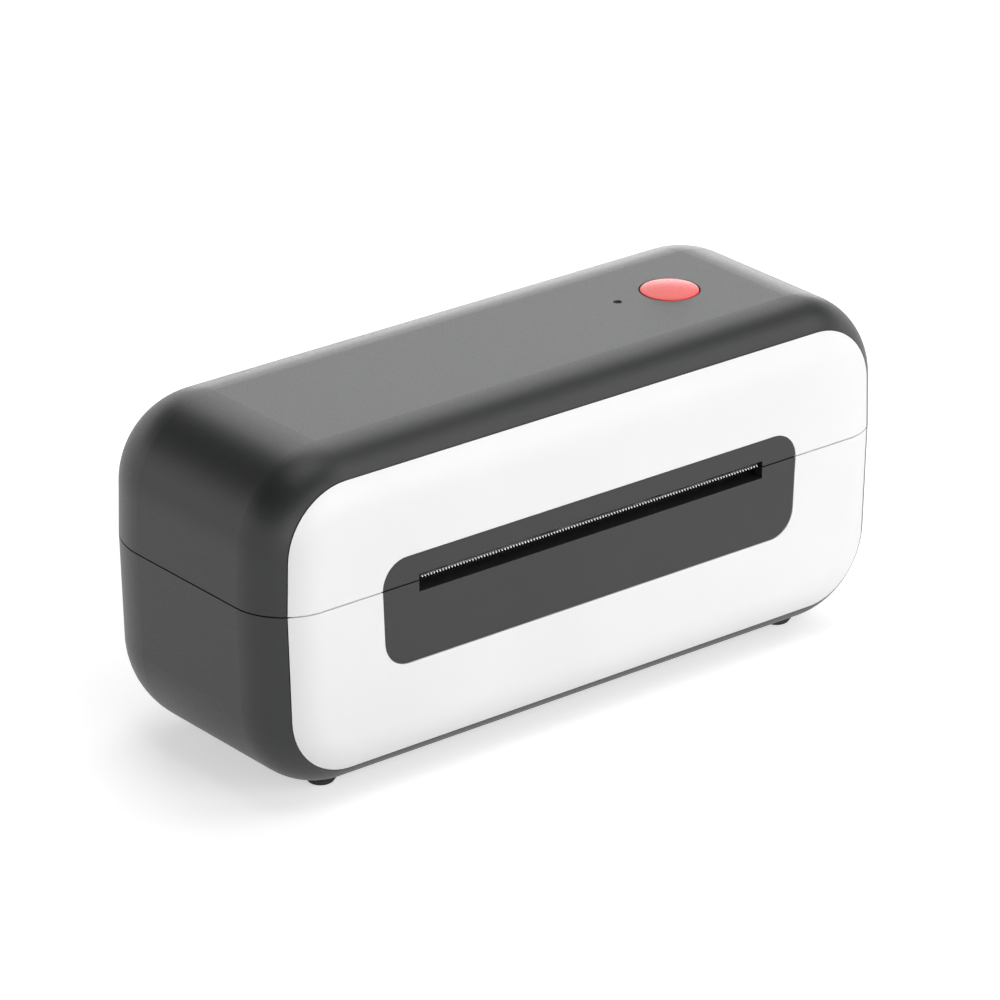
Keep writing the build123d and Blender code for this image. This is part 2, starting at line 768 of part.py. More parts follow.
def make_ports():
    """Power jack, USB port and rocker switch."""
    face = body_depth - loose_fit
    jack = block(
        (jack_x - jack_width / 2, jack_x + jack_width / 2),
        (face - jack_length, face),
        (main_board_top, main_board_top + jack_height),
    )
    plug_up = main_board_top + jack_height / 2
    barrel = lengthwise(jack_x, plug_up, plug_radius, (face - 9.5, face + 1))
    pin = lengthwise(jack_x, plug_up, 1.0, (face - 10, face - 0.8))
    keep("power_jack", jack - barrel + pin)

    usb_x_span = (usb_x - usb_width / 2, usb_x + usb_width / 2)
    can = block(usb_x_span, (face - usb_length, face), (main_board_top, main_board_top + usb_height))
    top_edges = can.edges().filter_by(Axis.Y).group_by(Axis.Z)[-1]
    can = chamfer(top_edges, 2.0)
    mouth = block(
        (usb_x_span[0] + 1.6, usb_x_span[1] - 1.6),
        (face - 9, face + 1),
        (main_board_top + 1.5, main_board_top + usb_height - 1.5),
    )
    mouth = chamfer(mouth.edges().filter_by(Axis.Y).group_by(Axis.Z)[-1], 1.5)
    tongue_up = (main_board_top + 3.9, main_board_top + 7.1)
    tongue = block((usb_x - 2.8, usb_x + 2.8), (face - 9.5, face - 1.0), tongue_up)
    keep("usb_port", can - mouth + tongue)

    flange = pocket_box(-loose_fit / 2, (pocket_floor, pocket_floor + 1.2))
    housing = block(
        (switch_x - body_half, switch_x + body_half),
        (pocket_floor - 14, pocket_floor + 0.5),
        (switch_up - body_tall, switch_up + body_tall),
    )
    cup = block(
        (switch_x - body_half + 0.6, switch_x + body_half - 0.6),
        (pocket_floor - 4.5, pocket_floor + 2),
        (switch_up - rocker_tall / 2 - loose_fit / 2, switch_up + rocker_tall / 2 + loose_fit / 2),
    )
    axle_up = (switch_up - body_tall - 0.2, switch_up + body_tall + 0.2)
    axle = upright(switch_x, rocker_back, 1.0 + running_fit, axle_up)
    terminal_back = (pocket_floor - 20, pocket_floor - 13.5)
    terminals = [
        block((switch_x + step - 0.4, switch_x + step + 0.4), terminal_back, (switch_up - 2.4, switch_up + 2.4))
        for step in (-3.5, 3.5)
    ]
    keep("switch_housing", joined([flange, housing] + terminals) - cup - axle)

    low = -2.2
    outline = Polyline(
        (-rocker_half + 1.6, low),
        (rocker_half - 1.6, low),
        (rocker_half - 0.7, 0.2),
        (rocker_half - 0.5, 1.7),
        (0, 0.9),
        (-rocker_half + 0.5, 1.7),
        (-rocker_half + 0.7, 0.2),
        close=True,
    )
    bar = extrude(make_face(outline), amount=rocker_tall)
    tilted = place(switch_x, rocker_back, switch_up - rocker_tall / 2) * Rot(0, 0, -rocker_tilt) * bar
    pivot = upright(switch_x, rocker_back, 1.0, (switch_up - body_tall, switch_up + body_tall))
    keep("power_rocker", tilted + pivot)


# Main board
board_low_x = -54.0
board_high_x = 28.0
board_front = 32.0
board_rear = body_depth - wall - inner_gap


def board_corners():
    """Where the main board is screwed to its posts."""
    across = (board_low_x + 4, board_high_x - 4)
    return [(x, back) for x in across for back in (board_front + 4, board_rear - 4)]


def make_board():
    """The main board and the parts on it, in groups."""
    under = main_board_top - board_thickness
    top = main_board_top
    keep("main_board", block((board_low_x, board_high_x), (board_front, board_rear), (under, top)))
    processor = block((-21, -7), (48, 62), (top, top + 1.5))
    driver = block((4, 12), (42, 48), (top, top + 1.6))
    memory = block((-36, -30), (50, 58), (top, top + 1.4))
    keep("board_chips", processor, driver, memory)
    keep("board_capacitor", upright(18, 50, 4.0, (top, top + 10)))
    headers = []
    for x, wide in ((-40, 10.0), (-24, 20.0), (-4, 8.0)):
        shell = block((x - wide / 2, x + wide / 2), (board_front + 1, board_front + 7), (top, top + 6))
        well_back = (board_front + 1.8, board_front + 6.2)
        well = block((x - wide / 2 + 0.8, x + wide / 2 - 0.8), well_back, (top + 1, top + 7))
        headers.append(shell - well)
    keep("board_connectors", *headers)


# Shells
def rim_tongues():
    """Short tongues inside the base's rim, at the sides and front, that locate the closed lid."""
    side_x = (half_width - ring_inset, half_width - wall - loose_fit)
    front_back = (shell_front + loose_fit, shell_front + loose_fit + tongue_thickness)
    side_reach = (front_edge_radius + 5, body_depth - rear_edge_radius - 4)
    front_reach = (slot_half_width + 12, half_width - front_edge_radius - 2)
    return both_sides(
        block(side_x, side_reach, (-tongue_root, tongue_height))
        + block((side_x[0], half_width - wall + 0.2), side_reach, (-tongue_root, -rim))
        + block(front_reach, front_back, (-tongue_root, tongue_height))
        + block(front_reach, (shell_front - 0.5, front_back[1]), (-tongue_root, -rim))
    )


def make_base_shell():
    """The lower half of the case with its tongues, posts, hinge ears and openings."""
    cavity = lower(half_cavity(*base_form))
    shell = (lower(half_case(*base_form)) - panel_zone - cavity) & below_rim
    floor = -base_height
    under_board = main_board_top - board_thickness
    posts = [
        upright(side * post_x, back, post_radius, (floor, post_meet))
        for side in (-1, 1)
        for back in (post_front, post_rear)
    ]
    posts += [
        block((x - 2.5, x + 2.5), (back - 2.5, back + 2.5), (floor, under_board))
        for x, back in board_corners()
    ]
    posts = joined(posts) & Pos(0, 0, -0.8) * cavity
    shell = joined([shell, rim_tongues(), both_sides(hinge_lugs()), posts])
    shell = shell + pocket_box(pocket_wall, (pocket_floor - pocket_wall, body_depth))

    shell = shell - pocket_box(0, (pocket_floor, body_depth + 1))
    shell = shell - block(
        (switch_x - body_half - 0.1, switch_x + body_half + 0.1),
        (pocket_floor - 3, pocket_floor + 1),
        (switch_up - body_tall - 0.1, switch_up + body_tall + 0.1),
    )
    shell = shell - port_holes()
    edge = body_depth - rear_chamfer
    shell = shell - side_shape(((edge, -rim), (edge + 5, -rim - 5), (edge + 5, 1), (edge, 1)), everywhere)
    notch_low = hinge_up - hinge_knuckle_radius - loose_fit
    notch_back = (hinge_back - 5, body_depth + 1)
    notch = block((arm_low - loose_fit, arm_high + loose_fit), notch_back, (notch_low, 1))
    pin_x = (lug_inner - 0.5, lug_outer + 0.5)
    pin_hole = crosswise(hinge_back, hinge_up, hinge_pin_radius + snug_fit, pin_x)
    shell = shell - both_sides(notch) - both_sides(pin_hole)
    slot_x = (-slot_half_width - 1, slot_half_width + 1)
    shell = shell - block(slot_x, (body_depth - wall - 2, body_depth + 1), (deck_top, 3))
    shell = shell - block(slot_x, (panel_depth - 1, shell_front + 2), (slot_bottom - 0.1, 3))
    shell = shell - tabs(panel_tab_x, base_panel_tab_up, tab_fit)
    shell = shell - tabs(bezel_tab_x, base_bezel_tab_up, tab_fit)

    for side in (-1, 1):
        for back in (post_front, post_rear):
            seat = (floor - 1, post_meet - 3)
            shell = shell - upright(side * post_x, back, screw_head_radius + 0.4, seat)
        for back in (foot_front, foot_rear):
            recess = (floor - 1, floor + foot_sink)
            shell = shell - upright(side * foot_x, back, foot_radius + 0.1, recess)
    vent_back = (body_depth / 2 - 9, body_depth / 2 + 9)
    for row in range(8):
        x = -35 + row * 10
        shell = shell - block((x - 1, x + 1), vent_back, (floor - 1, floor + wall + 1))
    keep("base_shell", shell)


def button_posts():
    """Where the button's board is screwed under the lid."""
    return [(lamp_x - 4.4, lamp_back - 5.8), (button_x + 14.2, button_back)]


def make_lid_shell():
    """The upper half of the case with its posts, hinge arms and openings."""
    cavity = upper(half_cavity(*lid_form))
    shell = (upper(half_case(*lid_form)) - panel_zone - cavity) & above_rim
    posts = square_posts(lid_post_width, (lid_frame_top, lid_height))
    posts += [
        block((x - 2, x + 2), (back - 2, back + 2), (button_board_top, lid_height))
        for x, back in button_posts()
    ]
    posts = joined(posts) & Pos(0, 0, 0.8) * cavity
    shell = joined([shell, both_sides(hinge_arm()), posts])

    under_wall = lid_height - wall
    through = (under_wall - 1, lid_height + 1)
    shell = shell - upright(button_x, button_back, button_radius + button_ring_gap, through)
    shell = shell - upright(lamp_x, lamp_back, lamp_radius + running_fit, through)
    slot_x = (-slot_half_width - 1, slot_half_width + 1)
    shell = shell - block(slot_x, (body_depth - wall - 2, body_depth + 1), (-1, inlet_top))
    front_x = (-slot_half_width - 2, slot_half_width + 2)
    shell = shell - block(front_x, (panel_depth - 1, shell_front + 2), (-1, tear_bend_up + 1.0))
    shell = shell - tabs(panel_tab_x, lid_panel_tab_up, tab_fit)
    shell = shell - tabs(bezel_tab_x, lid_bezel_tab_up, tab_fit)
    keep("lid_shell", shell)


# Tear bar
tear_rise = tan(radians(tear_slope))
tear_flange_back = shell_front
tear_bend_up = tear_tip_up + (tear_flange_back - tear_tip_back) * tear_rise


def make_tear_bar():
    """A steel strip with a row of fine teeth along its sloping lip, and a flange behind the front wall."""
    lip_length = (tear_flange_back + tear_thickness / 2 - tear_tip_back) / cos(radians(tear_slope))
    count = int(2 * (slot_half_width - 0.6) / tooth_pitch)
    half = count * tooth_pitch / 2
    points = [(half, lip_length), (-half, lip_length)]
    for tooth in range(count):
        left = -half + tooth * tooth_pitch
        points += [(left, tooth_length), (left + tooth_pitch / 2, 0)]
    points.append((half, tooth_length))
    lip = extrude(make_face(Polyline(*points, close=True)), amount=-tear_thickness)
    lip = place(0, tear_tip_back, tear_tip_up) * Rot(tear_slope, 0, 0) * lip
    flange = block(
        (-half, half),
        (tear_flange_back, tear_flange_back + tear_thickness),
        (tear_bend_up - tear_thickness, tear_bend_up + tear_flange_height),
    )
    keep("tear_bar", lip + flange)


# Lid frame and thermal head
def make_lid_frame():
    """The plate under the lid that forms the upper side of the label path."""
    frame = plan_plate((lid_frame_bottom, lid_frame_top))
    window_half = side_plate_x - 0.4
    through = (lid_frame_bottom - 1, lid_frame_top + 1)
    frame = frame - block((-window_half - 2, window_half + 2), (0, bracket_front), through)
    frame = frame - block((-window_half, window_half), (0, bracket_rear + 1), through)
    hook_low = hook_x - hook_thickness / 2 - 1.0
    hooks = block(
        (hook_low, hook_x + hook_thickness / 2 + 1.0),
        (catch_back - 4.5, latch_back + 6.5),
        through,
    )
    arms = block(
        (arm_low - 0.6, arm_high + 0.6),
        (hinge_back - hinge_knuckle_radius - 0.6, body_depth),
        through,
    )
    frame = frame - both_sides(hooks) - both_sides(arms)
    rib_back = (bracket_rear + 3, body_depth - ring_inset - 3)
    ribs = [
        block((x - 0.6, x + 0.6), rib_back, (lid_frame_top - 0.5, lid_frame_top + 5))
        for x in (-45, -15, 15, 45)
    ]
    keep("lid_frame", joined([frame] + ribs))


flange_in = side_plate_x + 0.2
flange_out = flange_in + bracket_thickness
sink_low = nip_gap - 1.4 + head_thickness
sink_high = sink_low + sink_thickness


def make_head_bracket():
    """A folded steel bracket on the lid frame that carries the head, its springs and the latch rod."""
    depth = (bracket_front, bracket_rear)
    under = bracket_top - bracket_thickness
    top = block((-flange_out, flange_out), depth, (under, bracket_top))
    side = block((flange_in, flange_out), depth, (lid_frame_top, bracket_top))
    foot = block(
        (flange_in, flange_out + 5.5),
        (bracket_front + 2, bracket_front + 14),
        (lid_frame_top, lid_frame_top + bracket_thickness),
    )
    bracket = joined([top, both_sides(side), both_sides(foot)])
    pegs = upright(spring_x, platen_back, spring_radius - 0.8, (under - 2, bracket_top))
    bracket = bracket + both_sides(pegs)
    flange = (flange_in - 1, flange_out + 1)
    holes = crosswise(head_pivot_back, head_pivot_up, head_pin_radius, flange)
    holes = holes + crosswise(latch_back, latch_up, latch_rod_radius + running_fit, flange)
    bracket = bracket - both_sides(holes)
    keep("head_bracket", bracket)
    pin_x = (sink_half_length - 3.5, flange_out + 0.3)
    pin = crosswise(head_pivot_back, head_pivot_up, head_pin_radius, pin_x)
    keep("head_pins", both_sides(pin))


def make_head():
    """The thermal head: a ceramic strip under an aluminium heat sink with fins and pivot ears."""
    strip_back = (platen_back - head_width / 2, platen_back + head_width / 2)
    strip = block((-head_half_length, head_half_length), strip_back, (sink_low - head_thickness, sink_low))
    strip = chamfer(strip.edges().filter_by(Axis.X).group_by(Axis.Z)[0], head_thickness * 0.3)
    keep("head_substrate", strip)
    sink = block((-sink_half_length, sink_half_length), (sink_front, sink_rear), (sink_low, sink_high))
    fin_up = (sink_high - 0.5, sink_high + 3.0)
    fins = [
        block((-sink_half_length, sink_half_length), (back - 0.7, back + 0.7), fin_up)
        for back in (sink_front + 1.2, sink_front + 14.5, sink_front + 18.0)
    ]
    ear_x = (sink_half_length - 2.5, sink_half_length)
    ear = block(ear_x, (head_pivot_back - 3, sink_rear), (sink_high - 0.5, head_pivot_up))
    ear = ear + crosswise(head_pivot_back, head_pivot_up, 3.0, ear_x)
    bore = head_pin_radius + running_fit
    pivot = crosswise(head_pivot_back, head_pivot_up, bore, (ear_x[0] - 1, ear_x[1] + 1))
    sink = joined([sink] + fins + [both_sides(ear)]) - both_sides(pivot)
    keep("head_heat_sink", sink)
    plug = block((-13, 13), (sink_rear - 5, sink_rear - 0.5), (sink_high, sink_high + 4.0))
    plug = plug - block((-12, 12), (sink_rear - 3.5, sink_rear), (sink_high + 1.0, sink_high + 3.0))
    keep("head_connector", plug)
    coil_low = sink_high + spring_wire / 2 + 0.05
    coil_high = bracket_top - bracket_thickness - spring_wire / 2 - 0.05
    pitch = (coil_high - coil_low) / spring_turns
    print("least gap between the turns of a head spring", round(pitch - spring_wire, 2))
    springs = []
    for x in (-spring_x, spring_x):
        coil = Helix(pitch, coil_high - coil_low, spring_radius)
        section = Plane(origin=coil @ 0, z_dir=coil % 0) * RegularPolygon(spring_wire / 2, 4)
        springs.append(place(x, platen_back, coil_low) * sweep(section, path=coil))
    keep("head_springs", *springs)


def make_latch():
    """Two hooks on one rod that catch pins in the chassis."""
    rod_end = hook_x + hook_thickness / 2 + 1.0
    rod = crosswise(latch_back, latch_up, latch_rod_radius, (-rod_end, rod_end))
    keep("latch_rod", rod)
    face = catch_back + catch_radius + loose_fit
    seat = catch_up - catch_radius - loose_fit
    hook_span = (hook_x - hook_thickness / 2, hook_x + hook_thickness / 2)
    blade = side_shape(
        (
            (latch_back - 3.5, latch_up),
            (face, catch_up + 6),
            (face, seat),
            (face - 3.0, seat),
            (face - 3.0, seat - 0.8),
            (face + 0.4, seat - 4.2),
            (face + 3.6, seat - 4.2),
            (latch_back + 3.5, latch_up),
        ),
        hook_span,
    )
    eye = crosswise(latch_back, latch_up, latch_rod_radius + 2.0, hook_span)
    bore = crosswise(latch_back, latch_up, latch_rod_radius, (hook_span[0] - 1, hook_span[1] + 1))
    keep("latch_hooks", both_sides(blade + eye - bore))


# Button, lamp and their board
def make_button():
    """The domed feed button with its catches, the switch under it, and the lamp with its light pipe."""
    flange_top = lid_height - wall - loose_fit
    flange_low = flange_top - 1.2
    stem_low = button_board_top + 4.0 + button_travel + 0.1
    steps = (1.0, 0.62, 0.3)
    dome = [(button_radius * step, lid_height + 0.1 + button_dome * (1 - step**2)) for step in steps]
    profile = [(0, stem_low), (2, stem_low), (2, flange_low), (button_radius, flange_low)]
    face = make_face(Plane.XZ * Polyline(*profile, *dome, (0, dome[-1][1]), close=True))
    cap = place(button_x, button_back, 0) * revolve(face, Axis.Z)
    catch_reach = button_radius + button_ring_gap + 1.0
    for across, along in ((2.0, catch_reach), (catch_reach, 2.0)):
        catch_back_span = (button_back - along, button_back + along)
        catch = block((button_x - across, button_x + across), catch_back_span, (flange_low, flange_top))
        cap = cap + catch
    keep("feed_button", cap)

    corners = button_posts()
    edge_x = (corners[0][0] - 4, corners[1][0] + 4)
    board_span = (button_board_top - board_thickness, button_board_top)
    keep("button_board", block(edge_x, (button_back - 9, button_back + 7), board_span))
    case_up = (button_board_top, button_board_top + 3.2)
    switch = block((button_x - 3, button_x + 3), (button_back - 3, button_back + 3), case_up)
    plunger = upright(button_x, button_back, 1.75, (button_board_top + 3, button_board_top + 4.0))
    keep("button_switch", switch + plunger)
    lamp_up = (button_board_top, button_board_top + 1.2)
    keep("status_lamp", block((lamp_x - 1.6, lamp_x + 1.6), (lamp_back - 1, lamp_back + 1), lamp_up))
    pipe = upright(lamp_x, lamp_back, lamp_radius, (button_board_top + 1.5, lid_height - 0.4))
    keep("light_pipe", pipe)


# Feet
def make_feet():
    """Round rubber feet in shallow recesses, tapering to a rounded tread."""
    seat = foot_height + foot_sink
    outline = Polyline(
        (0, 0),
        (foot_radius - 1.2, 0),
        (foot_radius, foot_height * 0.7),
        (foot_radius, seat),
        (0, seat),
        close=True,
    )
    foot = revolve(make_face(Plane.XZ * outline), Axis.Z)
    spots = [(side * foot_x, back) for side in (-1, 1) for back in (foot_front, foot_rear)]
    keep("rubber_feet", *[Pos(x, front_y + back, 0) * foot for x, back in spots])


def make_hinge_pins():
    """The steel pins on which the lid turns."""
    pin = crosswise(hinge_back, hinge_up, hinge_pin_radius, (lug_inner, lug_outer))
    keep("hinge_pins", both_sides(pin))


make_base_shell()
make_lid_shell()
keep("base_front_panel", front_panel(lower, base_form, base_panel_tab_up))
keep("lid_front_panel", front_panel(upper, lid_form, lid_panel_tab_up))
keep("base_bezel", make_base_bezel())
keep("lid_bezel", make_lid_bezel())
make_tear_bar()
make_hinge_pins()
make_feet()
make_chassis()
make_platen()
make_drive()
make_guides()
make_board()
make_ports()
make_lid_frame()
make_head_bracket()
make_head()
make_latch()
make_button()
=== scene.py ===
from math import cos, pi, radians, sin

import bmesh
import bpy
from mathutils import Matrix, Vector


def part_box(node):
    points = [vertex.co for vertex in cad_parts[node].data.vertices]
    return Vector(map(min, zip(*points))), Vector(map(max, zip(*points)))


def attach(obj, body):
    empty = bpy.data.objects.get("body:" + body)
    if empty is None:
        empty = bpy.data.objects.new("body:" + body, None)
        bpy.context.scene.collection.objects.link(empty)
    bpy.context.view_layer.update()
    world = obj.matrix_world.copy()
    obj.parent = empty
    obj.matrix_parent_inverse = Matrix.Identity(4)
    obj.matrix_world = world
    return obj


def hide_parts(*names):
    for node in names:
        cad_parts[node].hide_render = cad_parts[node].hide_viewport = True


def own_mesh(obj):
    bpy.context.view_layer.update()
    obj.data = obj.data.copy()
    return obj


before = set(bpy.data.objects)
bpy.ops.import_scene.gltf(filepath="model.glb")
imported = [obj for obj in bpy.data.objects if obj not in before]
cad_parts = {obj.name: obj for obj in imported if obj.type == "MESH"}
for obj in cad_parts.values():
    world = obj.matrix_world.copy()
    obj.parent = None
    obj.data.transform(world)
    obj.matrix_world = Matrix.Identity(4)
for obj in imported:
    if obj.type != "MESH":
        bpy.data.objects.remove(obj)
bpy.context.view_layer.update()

# A desktop printer for shipping labels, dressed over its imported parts. Positions are given as
# a maker would measure them: millimetres across from the middle of the case, back from the
# front face, and up from the parting line between base and lid.

MM = 0.001
PARTING_HEIGHT = 58.6
FRONT_FACE = -43.25


def spot(across, back, up):
    """A place on the printer, in metres in the part's own frame."""
    return Vector((across, FRONT_FACE + back, PARTING_HEIGHT + up)) * MM


# Camera, floor and studio light
def set_up_camera():
    """A long lens from high on the left, as the product was photographed."""
    data = bpy.data.cameras.new("product_camera")
    data.lens = 207.6
    data.sensor_width = 36
    data.clip_end = 20
    camera = bpy.data.objects.new("product_camera", data)
    # Solved from the straight edges of the case in the photograph.
    camera.location = (-0.911239, -1.131934, 0.685363)
    camera.rotation_euler = (radians(66.4), 0, radians(-38.9))
    bpy.context.scene.collection.objects.link(camera)
    bpy.context.scene.camera = camera


def softbox(name, place, width, height, power):
    """A lamp behind a flat diffuser, turned to face the printer."""
    case_middle = Vector((0, 0, 0.05))
    data = bpy.data.lights.new(name, "AREA")
    data.shape = "RECTANGLE"
    data.size = width
    data.size_y = height
    data.energy = power
    lamp = bpy.data.objects.new(name, data)
    lamp.location = place
    direction = case_middle - Vector(place)
    lamp.rotation_euler = direction.to_track_quat("-Z", "Y").to_euler()
    bpy.context.scene.collection.objects.link(lamp)


# Colours and shader nodes
def linear(code):
    """The linear colour of an sRGB hex code."""
    parts = [int(code[i : i + 2], 16) / 255 for i in (1, 3, 5)]
    return [c / 12.92 if c <= 0.04045 else ((c + 0.055) / 1.055) ** 2.4 for c in parts] + [1.0]


def add(material, kind, settings=None, stops=(), **sockets):
    """Adds one shader node with its settings, colour stops and links.

    A socket goes by its name or its number, and takes a value or another node's output.
    Colour stops are pairs of a place and a hex colour, from low to high.
    """
    node = material.node_tree.nodes.new(kind)
    for name, value in (settings or {}).items():
        setattr(node, name, value)
    for number, (position, colour) in enumerate(stops):
        elements = node.color_ramp.elements
        element = elements[number] if number < len(elements) else elements.new(position)
        element.position = position
        element.color = linear(colour)
    for name, value in sockets.items():
        if name[0] == "_":
            socket = node.inputs[int(name[1:])]
        else:
            socket = node.inputs[name.replace("_", " ")]
        if isinstance(value, bpy.types.NodeSocket):
            material.node_tree.links.new(value, socket)
        else:
            socket.default_value = value
    return node


def new_material(name):
    """An empty material, ready for its nodes."""
    material = bpy.data.materials.new(name)
    material.use_nodes = True
    material.node_tree.nodes.clear()
    return material


def finish_material(material, shader):
    """Ends a material in its surface."""
    add(material, "ShaderNodeOutputMaterial", Surface=shader)
    return material


# The grain of a mould is near 0.1 mm and the lines on worked metal are finer still, so both are
# drawn coarser, at the millimetres that each material gives, to show in the picture.
FLOW_SCALE = 18.0  # one drift of shade in about 55 mm
NOISE_LOW, NOISE_HIGH = 0.3, 0.7  # most of a noise lies between these
GRAIN_GLOSS, LINE_GLOSS, CLOUD_GLOSS = 0.06, 0.08, 0.04  # how far each moves the roughness


def moulded_plastic(name, dark, light, roughness, grain_mm, depth, ior=1.53):
    """A moulded plastic: the mould's grain as a bump, and a faint drift of shade from the flow."""
    material = new_material(name)
    place = add(material, "ShaderNodeTexCoord").outputs["Object"]
    flow = add(material, "ShaderNodeTexNoise", Vector=place, Scale=FLOW_SCALE, Detail=2.0)
    shade = add(
        material, "ShaderNodeValToRGB", stops=[(NOISE_LOW, dark), (NOISE_HIGH, light)],
        Fac=flow.outputs["Fac"],
    )
    grain = add(
        material, "ShaderNodeTexNoise",
        Vector=place, Scale=1000.0 / grain_mm, Detail=3.0, Roughness=0.6,
    )
    gloss = add(
        material, "ShaderNodeMapRange", Value=grain.outputs["Fac"],
        _1=NOISE_LOW, _2=NOISE_HIGH, _3=roughness - GRAIN_GLOSS, _4=roughness + GRAIN_GLOSS,
    )
    bump = add(
        material, "ShaderNodeBump", Strength=depth, Distance=0.1 * MM, Height=grain.outputs["Fac"]
    )
    shader = add(
        material, "ShaderNodeBsdfPrincipled", Base_Color=shade.outputs["Color"],
        Roughness=gloss.outputs["Result"], IOR=ior, Normal=bump.outputs["Normal"],
    )
    return finish_material(material, shader.outputs["BSDF"])


def worked_metal(name, dark, light, roughness, line_mm, stretch, depth):
    """A metal with the fine lines of its working: long along one axis, close-set across it."""
    material = new_material(name)
    place = add(material, "ShaderNodeTexCoord").outputs["Object"]
    along = add(material, "ShaderNodeMapping", Vector=place, Scale=stretch)
    lines = add(
        material, "ShaderNodeTexNoise",
        Vector=along.outputs["Vector"], Scale=1000.0 / line_mm, Detail=2.0,
    )
    shade = add(
        material, "ShaderNodeValToRGB", stops=[(0.25, dark), (0.75, light)],
        Fac=lines.outputs["Fac"],
    )
    gloss = add(
        material, "ShaderNodeMapRange", Value=lines.outputs["Fac"],
        _1=NOISE_LOW, _2=NOISE_HIGH, _3=roughness - LINE_GLOSS, _4=roughness + LINE_GLOSS,
    )
    bump = add(
        material, "ShaderNodeBump", Strength=depth, Distance=0.05 * MM, Height=lines.outputs["Fac"]
    )
    shader = add(
        material, "ShaderNodeBsdfPrincipled", Base_Color=shade.outputs["Color"], Metallic=1.0,
        Roughness=gloss.outputs["Result"], Normal=bump.outputs["Normal"],
    )
    return finish_material(material, shader.outputs["BSDF"])


# The case is ABS from a spark-eroded mould: a fine matt grain that spreads the light.
case_abs = moulded_plastic(
    "spark_eroded_abs_case", "#1f2021", "#232425", roughness=0.42, grain_mm=0.45, depth=0.25
)
# The front panels are white ABS from a satin mould: smooth, with a soft, even sheen.
panel_abs = moulded_plastic(
    "satin_white_abs_panels", "#f1f1f2", "#f6f6f7", roughness=0.38, grain_mm=1.6, depth=0.05
)
# The bezel is dark ABS with a satin finish, its grain shallower than the case's.
bezel_abs = moulded_plastic(
    "satin_dark_abs_bezel", "#202021", "#242425", roughness=0.42, grain_mm=0.8, depth=0.10
)
# The button cap is coral-red ABS off a polished mould: a soft highlight on its dome.
button_abs = moulded_plastic(
    "polished_coral_abs_button", "#ec3e38", "#f0443e", roughness=0.40, grain_mm=1.2, depth=0.05
)
# The inner frames are black ABS as it comes from the tool, with a dull, slightly streaky skin.
frame_abs = moulded_plastic(
    "moulded_black_abs_frames", "#161617", "#1b1b1c", roughness=0.60, grain_mm=1.1, depth=0.20
)
# The guides are grey acetal, a waxy, close-grained plastic that slides well.
guide_acetal = moulded_plastic(
    "moulded_grey_acetal_guides", "#6b6e73", "#777a7f", roughness=0.40, grain_mm=1.4, depth=0.08,
    ior=1.48,
)
# The gears are natural acetal, milky white and slightly waxy.
gear_acetal = moulded_plastic(
    "moulded_natural_acetal_gears", "#d6d5cc", "#e2e1d9", roughness=0.42, grain_mm=1.4, depth=0.08,
    ior=1.48,
)
# Plugs and sockets are glass-filled nylon, with a faint, cloudy grain.
socket_nylon = moulded_plastic(
    "moulded_ivory_nylon_sockets", "#ddd9ca", "#e8e4d8", roughness=0.48, grain_mm=0.7, depth=0.12
)
# The jack, switch body and sensor are black polyester, a little glossier than the frames.
part_polyester = moulded_plastic(
    "moulded_black_polyester_parts", "#19191a", "#202021", roughness=0.40, grain_mm=0.8, depth=0.10,
    ior=1.57,
)
# The rocker is black nylon off a fine matt mould.
rocker_nylon = moulded_plastic(
    "moulded_black_nylon_rocker", "#1b1b1c", "#222224", roughness=0.38, grain_mm=0.6, depth=0.10
)
# The feet are moulded rubber, quite matt and a little dusty.
foot_rubber = moulded_plastic(
    "moulded_black_rubber_feet", "#1b1b1c", "#272728", roughness=0.82, grain_mm=0.5, depth=0.35,
    ior=1.52,
)
# Chips are packed in black epoxy with a fine blasted skin.
chip_epoxy = moulded_plastic(
    "moulded_black_epoxy_chips", "#1c1c1d", "#242425", roughness=0.60, grain_mm=0.35, depth=0.20,
    ior=1.55,
)

# Sheet parts are cold-rolled, zinc-plated steel, with faint rolling lines along the case.
sheet_steel = worked_metal(
    "cold_rolled_plated_sheet_steel", "#a3a4a7", "#b9babd",
    roughness=0.34, line_mm=0.5, stretch=(0.04, 1.0, 1.0), depth=0.15,
)
# Shafts and pins are ground steel bar, with fine rings round the axis.
ground_steel = worked_metal(
    "ground_steel_shafts_and_pins", "#aaaaad", "#bebec1",
    roughness=0.22, line_mm=0.4, stretch=(1.0, 0.05, 0.05), depth=0.15,
)
# The tear bar is stamped spring steel, bright along its cut teeth.
tear_steel = worked_metal(
    "stamped_spring_steel_tear_bar", "#b6b6b9", "#cdcdd0",
    roughness=0.30, line_mm=0.4, stretch=(0.06, 1.0, 1.0), depth=0.10,
)
# The heat sink is extruded aluminium, drawn along its length.
sink_aluminium = worked_metal(
    "extruded_aluminium_heat_sink", "#b9bbbe", "#cbcdd0",
    roughness=0.38, line_mm=0.6, stretch=(0.03, 1.0, 1.0), depth=0.20,
)
# The port's can is drawn steel with bright nickel on it.
can_steel = worked_metal(
    "nickel_plated_steel_can", "#b2b1ac", "#c3c2bd",
    roughness=0.24, line_mm=0.5, stretch=(1.0, 0.06, 1.0), depth=0.10,
)
# The head's springs are drawn music wire, darker than the sheet steel.
spring_wire = worked_metal(
    "drawn_spring_wire", "#77787b", "#8b8c8f",
    roughness=0.30, line_mm=0.3, stretch=(1.0, 1.0, 0.2), depth=0.10,
)


